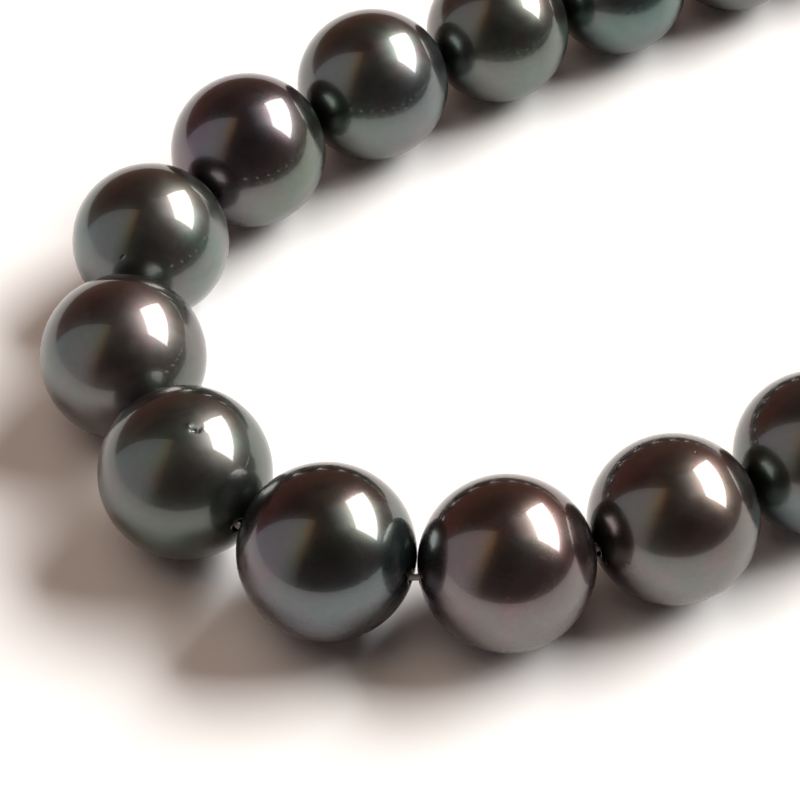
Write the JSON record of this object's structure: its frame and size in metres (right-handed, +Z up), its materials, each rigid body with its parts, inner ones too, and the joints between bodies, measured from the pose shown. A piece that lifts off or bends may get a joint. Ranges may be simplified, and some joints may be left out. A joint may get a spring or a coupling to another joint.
{
  "type": "pearl necklace",
  "caption": "Graduated strand of round, glossy black pearls on one thread, laid open on a flat surface, with a small lobster-claw clasp at one end and a catch ring at the other.",
  "frame": {"origin": "middle of the bounding box, on the surface that the strand lies on", "axes": "+Z up from that surface; +X along the longest side of the strand as laid, from its front bend towards the clasp; +Y towards the back of the loop"},
  "size_m": [0.2186, 0.1408, 0.0111],
  "materials": {
    "nacre_grey": "polished",
    "nacre_green": "polished",
    "nacre_aubergine": "polished",
    "nacre_blue": "polished",
    "nacre_violet": "polished",
    "silk": "matte",
    "gimp_wire": "satin",
    "spring_steel": "satin",
    "silver": "polished"
  },
  "bodies": {
    "pearl_01": {"pearl_01": "nacre_grey", "finishing_knot_a": "silk", "gimp_a": "gimp_wire"},
    "pearl_02": {"pearl_02": "nacre_grey"},
    "pearl_03": {"pearl_03": "nacre_blue"},
    "pearl_04": {"pearl_04": "nacre_green", "stringing_thread_1": "silk"},
    "pearl_05": {"pearl_05": "nacre_aubergine"},
    "pearl_06": {"pearl_06": "nacre_violet"},
    "pearl_07": {"pearl_07": "nacre_green"},
    "pearl_08": {"pearl_08": "nacre_grey"},
    "pearl_09": {"pearl_09": "nacre_grey"},
    "pearl_10": {"pearl_10": "nacre_blue"},
    "pearl_11": {"pearl_11": "nacre_green", "stringing_thread_2": "silk"},
    "pearl_12": {"pearl_12": "nacre_aubergine"},
    "pearl_13": {"pearl_13": "nacre_violet"},
    "pearl_14": {"pearl_14": "nacre_green"},
    "pearl_15": {"pearl_15": "nacre_grey"},
    "pearl_16": {"pearl_16": "nacre_grey"},
    "pearl_17": {"pearl_17": "nacre_blue"},
    "pearl_18": {"pearl_18": "nacre_green"},
    "pearl_19": {"pearl_19": "nacre_blue", "stringing_thread_3": "silk"},
    "pearl_20": {"pearl_20": "nacre_aubergine"},
    "pearl_21": {"pearl_21": "nacre_aubergine"},
    "pearl_22": {"pearl_22": "nacre_violet"},
    "pearl_23": {"pearl_23": "nacre_green"},
    "pearl_24": {"pearl_24": "nacre_grey"},
    "pearl_25": {"pearl_25": "nacre_green", "stringing_thread_4": "silk"},
    "pearl_26": {"pearl_26": "nacre_violet"},
    "pearl_27": {"pearl_27": "nacre_green"},
    "pearl_28": {"pearl_28": "nacre_grey"},
    "pearl_29": {"pearl_29": "nacre_blue"},
    "pearl_30": {"pearl_30": "nacre_grey"},
    "pearl_31": {"pearl_31": "nacre_blue"},
    "pearl_32": {"pearl_32": "nacre_green", "stringing_thread_5": "silk"},
    "pearl_33": {"pearl_33": "nacre_aubergine"},
    "pearl_34": {"pearl_34": "nacre_violet"},
    "pearl_35": {"pearl_35": "nacre_green"},
    "pearl_36": {"pearl_36": "nacre_grey"},
    "pearl_37": {"pearl_37": "nacre_grey"},
    "pearl_38": {"pearl_38": "nacre_blue"},
    "pearl_39": {"pearl_39": "nacre_green"},
    "pearl_40": {"pearl_40": "nacre_aubergine", "stringing_thread_6": "silk"},
    "pearl_41": {"pearl_41": "nacre_violet"},
    "pearl_42": {"pearl_42": "nacre_green"},
    "pearl_43": {"pearl_43": "nacre_grey", "finishing_knot_b": "silk", "gimp_b": "gimp_wire"},
    "jump_ring_a": {"jump_ring_a": "silver"},
    "clasp_body": {"clasp_body": "silver", "clasp_rivet": "silver", "clasp_spring": "spring_steel"},
    "clasp_lever": {"clasp_lever": "silver"},
    "jump_ring_b": {"jump_ring_b": "silver"},
    "catch_ring": {"catch_ring": "silver"}
  },
  "joints": [
    {"name": "jump_ring_a_swing", "type": "hinge", "parent": "pearl_01", "child": "jump_ring_a", "pos_m": [0.0995, 0.01719, 0.00403], "axis": [0.809, -0.5878, 0], "range_deg": [-20, 95]},
    {"name": "clasp_swivel", "type": "hinge", "parent": "jump_ring_a", "child": "clasp_body", "pos_m": [0.10148, 0.01991, 0.0016], "axis": [0, 0, 1], "range_deg": [-75, 75]},
    {"name": "clasp_lever_pivot", "type": "hinge", "parent": "clasp_body", "child": "clasp_lever", "pos_m": [0.10474, 0.02236, 0.0016], "axis": [0, 0, 1], "range_deg": [0, 30], "stiffness_Nm_per_rad": 0.001, "springref_deg": -34.38, "deforming": ["clasp_spring"]},
    {"name": "jump_ring_b_swing", "type": "hinge", "parent": "pearl_43", "child": "jump_ring_b", "pos_m": [0.04298, 0.06662, 0.00404], "axis": [0.1736, -0.9848, 0], "range_deg": [-20, 95]},
    {"name": "catch_ring_swivel", "type": "hinge", "parent": "jump_ring_b", "child": "catch_ring", "pos_m": [0.0463, 0.06721, 0.00145], "axis": [0, 0, 1], "range_deg": [-45, 45]},
    {"name": "bend_22_23", "type": "hinge", "parent": "pearl_22", "child": "pearl_23", "pos_m": [-0.09602, -0.06159, 0.00553], "axis": [0, 0, 1], "range_deg": [-0.1, 60.3], "deforming": ["stringing_thread_4"]},
    {"name": "bend_23_24", "type": "hinge", "parent": "pearl_23", "child": "pearl_24", "pos_m": [-0.10307, -0.05249, 0.00547], "axis": [-0.9191, -0.3939, 0], "range_deg": [-3.1, 3.1], "deforming": ["stringing_thread_4"]},
    {"name": "bend_24_25", "type": "hinge", "parent": "pearl_24", "child": "pearl_25", "pos_m": [-0.10478, -0.04123, 0.00537], "axis": [0, 0, -1], "range_deg": [-64.5, 0.1], "deforming": ["stringing_thread_4"]},
    {"name": "bend_25_26", "type": "hinge", "parent": "pearl_25", "child": "pearl_26", "pos_m": [-0.10034, -0.03107, 0.00536], "axis": [0.7997, -0.6004, 0], "range_deg": [-3, 3], "deforming": ["stringing_thread_4"]},
    {"name": "bend_26_27", "type": "hinge", "parent": "pearl_26", "child": "pearl_27", "pos_m": [-0.09179, -0.02395, 0.0054], "axis": [0, 0, 1], "range_deg": [-11.5, 24.9], "deforming": ["stringing_thread_4"]},
    {"name": "bend_27_28", "type": "hinge", "parent": "pearl_27", "child": "pearl_28", "pos_m": [-0.08254, -0.01792, 0.0053], "axis": [-0.521, 0.8536, 0], "range_deg": [-18.1, 18.1], "deforming": ["stringing_thread_4"]},
    {"name": "bend_28_29", "type": "hinge", "parent": "pearl_28", "child": "pearl_29", "pos_m": [-0.07332, -0.01266, 0.0051], "axis": [0, 0, -1], "range_deg": [-22.5, 14.9], "deforming": ["stringing_thread_4"]},
    {"name": "bend_29_30", "type": "hinge", "parent": "pearl_29", "child": "pearl_30", "pos_m": [-0.06409, -0.00817, 0.00499], "axis": [0.4454, -0.8953, 0], "range_deg": [-18.9, 18.9], "deforming": ["stringing_thread_5"]},
    {"name": "bend_30_31", "type": "hinge", "parent": "pearl_30", "child": "pearl_31", "pos_m": [-0.05502, -0.00355, 0.00492], "axis": [0, 0, 1], "range_deg": [-23.1, 15.1], "deforming": ["stringing_thread_5"]},
    {"name": "bend_31_32", "type": "hinge", "parent": "pearl_31", "child": "pearl_32", "pos_m": [-0.04645, 0.0016, 0.00485], "axis": [-0.5519, 0.8339, 0], "range_deg": [-18.5, 18.5], "deforming": ["stringing_thread_5"]},
    {"name": "bend_32_33", "type": "hinge", "parent": "pearl_32", "child": "pearl_33", "pos_m": [-0.03844, 0.00742, 0.00479], "axis": [0, 0, -1], "range_deg": [-14.3, 24.3], "deforming": ["stringing_thread_5"]},
    {"name": "bend_33_34", "type": "hinge", "parent": "pearl_33", "child": "pearl_34", "pos_m": [-0.0311, 0.01379, 0.00471], "axis": [0.682, -0.7314, 0], "range_deg": [-19.1, 19.1], "deforming": ["stringing_thread_5"]},
    {"name": "bend_34_35", "type": "hinge", "parent": "pearl_34", "child": "pearl_35", "pos_m": [-0.0243, 0.0206, 0.00464], "axis": [0, 0, 1], "range_deg": [-22.6, 16.6], "deforming": ["stringing_thread_5"]},
    {"name": "bend_35_36", "type": "hinge", "parent": "pearl_35", "child": "pearl_36", "pos_m": [-0.01798, 0.02761, 0.00457], "axis": [-0.749, 0.6626, 0], "range_deg": [-19.7, 19.7], "deforming": ["stringing_thread_5"]},
    {"name": "bend_36_37", "type": "hinge", "parent": "pearl_36", "child": "pearl_37", "pos_m": [-0.01187, 0.03465, 0.00451], "axis": [0, 0, -1], "range_deg": [-20.9, 18.9], "deforming": ["stringing_thread_6"]},
    {"name": "bend_37_38", "type": "hinge", "parent": "pearl_37", "child": "pearl_38", "pos_m": [-0.00573, 0.04147, 0.00443], "axis": [0.7193, -0.6947, 0], "range_deg": [-19.7, 19.7], "deforming": ["stringing_thread_6"]},
    {"name": "bend_38_39", "type": "hinge", "parent": "pearl_38", "child": "pearl_39", "pos_m": [0.00075, 0.04772, 0.00436], "axis": [0, 0, 1], "range_deg": [-15.2, 25.2], "deforming": ["stringing_thread_6"]},
    {"name": "bend_39_40", "type": "hinge", "parent": "pearl_39", "child": "pearl_40", "pos_m": [0.00766, 0.05332, 0.00429], "axis": [-0.5878, 0.809, 0], "range_deg": [-19.5, 19.5], "deforming": ["stringing_thread_6"]},
    {"name": "bend_40_41", "type": "hinge", "parent": "pearl_40", "child": "pearl_41", "pos_m": [0.01499, 0.05808, 0.00422], "axis": [0, 0, -1], "range_deg": [-27.6, 13.6], "deforming": ["stringing_thread_6"]},
    {"name": "bend_41_42", "type": "hinge", "parent": "pearl_41", "child": "pearl_42", "pos_m": [0.02274, 0.06186, 0.00415], "axis": [0.3746, -0.9272, 0], "range_deg": [-19.2, 19.2], "deforming": ["stringing_thread_6"]},
    {"name": "bend_42_43", "type": "hinge", "parent": "pearl_42", "child": "pearl_43", "pos_m": [0.03077, 0.06447, 0.00407], "axis": [0, 0, 1], "range_deg": [-12.9, 28.9], "deforming": ["stringing_thread_6"]},
    {"name": "bend_21_22", "type": "hinge", "parent": "pearl_22", "child": "pearl_21", "pos_m": [-0.08527, -0.06595, 0.0055], "axis": [-0.1097, -0.994, 0], "range_deg": [-2.9, 2.9], "deforming": ["stringing_thread_3"]},
    {"name": "bend_20_21", "type": "hinge", "parent": "pearl_21", "child": "pearl_20", "pos_m": [-0.07412, -0.06408, 0.0054], "axis": [0, 0, 1], "range_deg": [-33.1, 3.3], "deforming": ["stringing_thread_3"]},
    {"name": "bend_19_20", "type": "hinge", "parent": "pearl_20", "child": "pearl_19", "pos_m": [-0.06417, -0.05957, 0.0053], "axis": [-0.4749, 0.8801, 0], "range_deg": [-16.6, 16.6], "deforming": ["stringing_thread_3"]},
    {"name": "bend_18_19", "type": "hinge", "parent": "pearl_19", "child": "pearl_18", "pos_m": [-0.05508, -0.05382, 0.00522], "axis": [0, 0, -1], "range_deg": [-19.8, 17.2], "deforming": ["stringing_thread_3"]},
    {"name": "bend_17_18", "type": "hinge", "parent": "pearl_18", "child": "pearl_17", "pos_m": [-0.04598, -0.04835, 0.00516], "axis": [0.4924, -0.8704, 0], "range_deg": [-18.4, 18.4], "deforming": ["stringing_thread_3"]},
    {"name": "bend_16_17", "type": "hinge", "parent": "pearl_17", "child": "pearl_16", "pos_m": [-0.03671, -0.04342, 0.00509], "axis": [0, 0, 1], "range_deg": [-14.8, 22.8], "deforming": ["stringing_thread_3"]},
    {"name": "bend_15_16", "type": "hinge", "parent": "pearl_16", "child": "pearl_15", "pos_m": [-0.02728, -0.03923, 0.00502], "axis": [-0.3746, 0.9272, 0], "range_deg": [-18.5, 18.5], "deforming": ["stringing_thread_3"]},
    {"name": "bend_14_15", "type": "hinge", "parent": "pearl_15", "child": "pearl_14", "pos_m": [-0.01766, -0.03572, 0.00496], "axis": [0, 0, -1], "range_deg": [-23, 15], "deforming": ["stringing_thread_2"]},
    {"name": "bend_13_14", "type": "hinge", "parent": "pearl_14", "child": "pearl_13", "pos_m": [-0.00799, -0.03295, 0.00488], "axis": [0.2504, -0.9681, 0], "range_deg": [-18.9, 18.9], "deforming": ["stringing_thread_2"]},
    {"name": "bend_12_13", "type": "hinge", "parent": "pearl_13", "child": "pearl_12", "pos_m": [0.0017, -0.03071, 0.00483], "axis": [0, 0, 1], "range_deg": [-17.3, 21.3], "deforming": ["stringing_thread_2"]},
    {"name": "bend_11_12", "type": "hinge", "parent": "pearl_12", "child": "pearl_11", "pos_m": [0.01136, -0.02884, 0.00475], "axis": [-0.1822, 0.9833, 0], "range_deg": [-19.4, 19.4], "deforming": ["stringing_thread_2"]},
    {"name": "bend_10_11", "type": "hinge", "parent": "pearl_11", "child": "pearl_10", "pos_m": [0.02087, -0.02716, 0.00468], "axis": [0, 0, -1], "range_deg": [-19.5, 19.5], "deforming": ["stringing_thread_2"]},
    {"name": "bend_09_10", "type": "hinge", "parent": "pearl_10", "child": "pearl_09", "pos_m": [0.03029, -0.0255, 0.00462], "axis": [0.1908, -0.9816, 0], "range_deg": [-19.6, 19.6], "deforming": ["stringing_thread_2"]},
    {"name": "bend_08_09", "type": "hinge", "parent": "pearl_09", "child": "pearl_08", "pos_m": [0.03948, -0.02354, 0.00456], "axis": [0, 0, 1], "range_deg": [-22.8, 16.8], "deforming": ["stringing_thread_2"]},
    {"name": "bend_07_08", "type": "hinge", "parent": "pearl_08", "child": "pearl_07", "pos_m": [0.04847, -0.02114, 0.00449], "axis": [-0.2924, 0.9563, 0], "range_deg": [-19.5, 19.5], "deforming": ["stringing_thread_1"]},
    {"name": "bend_06_07", "type": "hinge", "parent": "pearl_07", "child": "pearl_06", "pos_m": [0.05711, -0.01816, 0.00443], "axis": [0, 0, -1], "range_deg": [-15.1, 25.1], "deforming": ["stringing_thread_1"]},
    {"name": "bend_05_06", "type": "hinge", "parent": "pearl_06", "child": "pearl_05", "pos_m": [0.06537, -0.01448, 0.00436], "axis": [0.454, -0.891, 0], "range_deg": [-19.3, 19.3], "deforming": ["stringing_thread_1"]},
    {"name": "bend_04_05", "type": "hinge", "parent": "pearl_05", "child": "pearl_04", "pos_m": [0.07306, -0.01005, 0.0043], "axis": [0, 0, 1], "range_deg": [-26.4, 14.4], "deforming": ["stringing_thread_1"]},
    {"name": "bend_03_04", "type": "hinge", "parent": "pearl_04", "child": "pearl_03", "pos_m": [0.08016, -0.00488, 0.00422], "axis": [-0.6293, 0.7771, 0], "range_deg": [-19.7, 19.7], "deforming": ["stringing_thread_1"]},
    {"name": "bend_02_03", "type": "hinge", "parent": "pearl_03", "child": "pearl_02", "pos_m": [0.08655, 0.00087, 0.00415], "axis": [0, 0, -1], "range_deg": [-14.7, 26.7], "deforming": ["stringing_thread_1"]},
    {"name": "bend_01_02", "type": "hinge", "parent": "pearl_02", "child": "pearl_01", "pos_m": [0.09222, 0.00717, 0.00407], "axis": [0.7771, -0.6293, 0], "range_deg": [-20, 20], "deforming": ["stringing_thread_1"]}
  ]
}
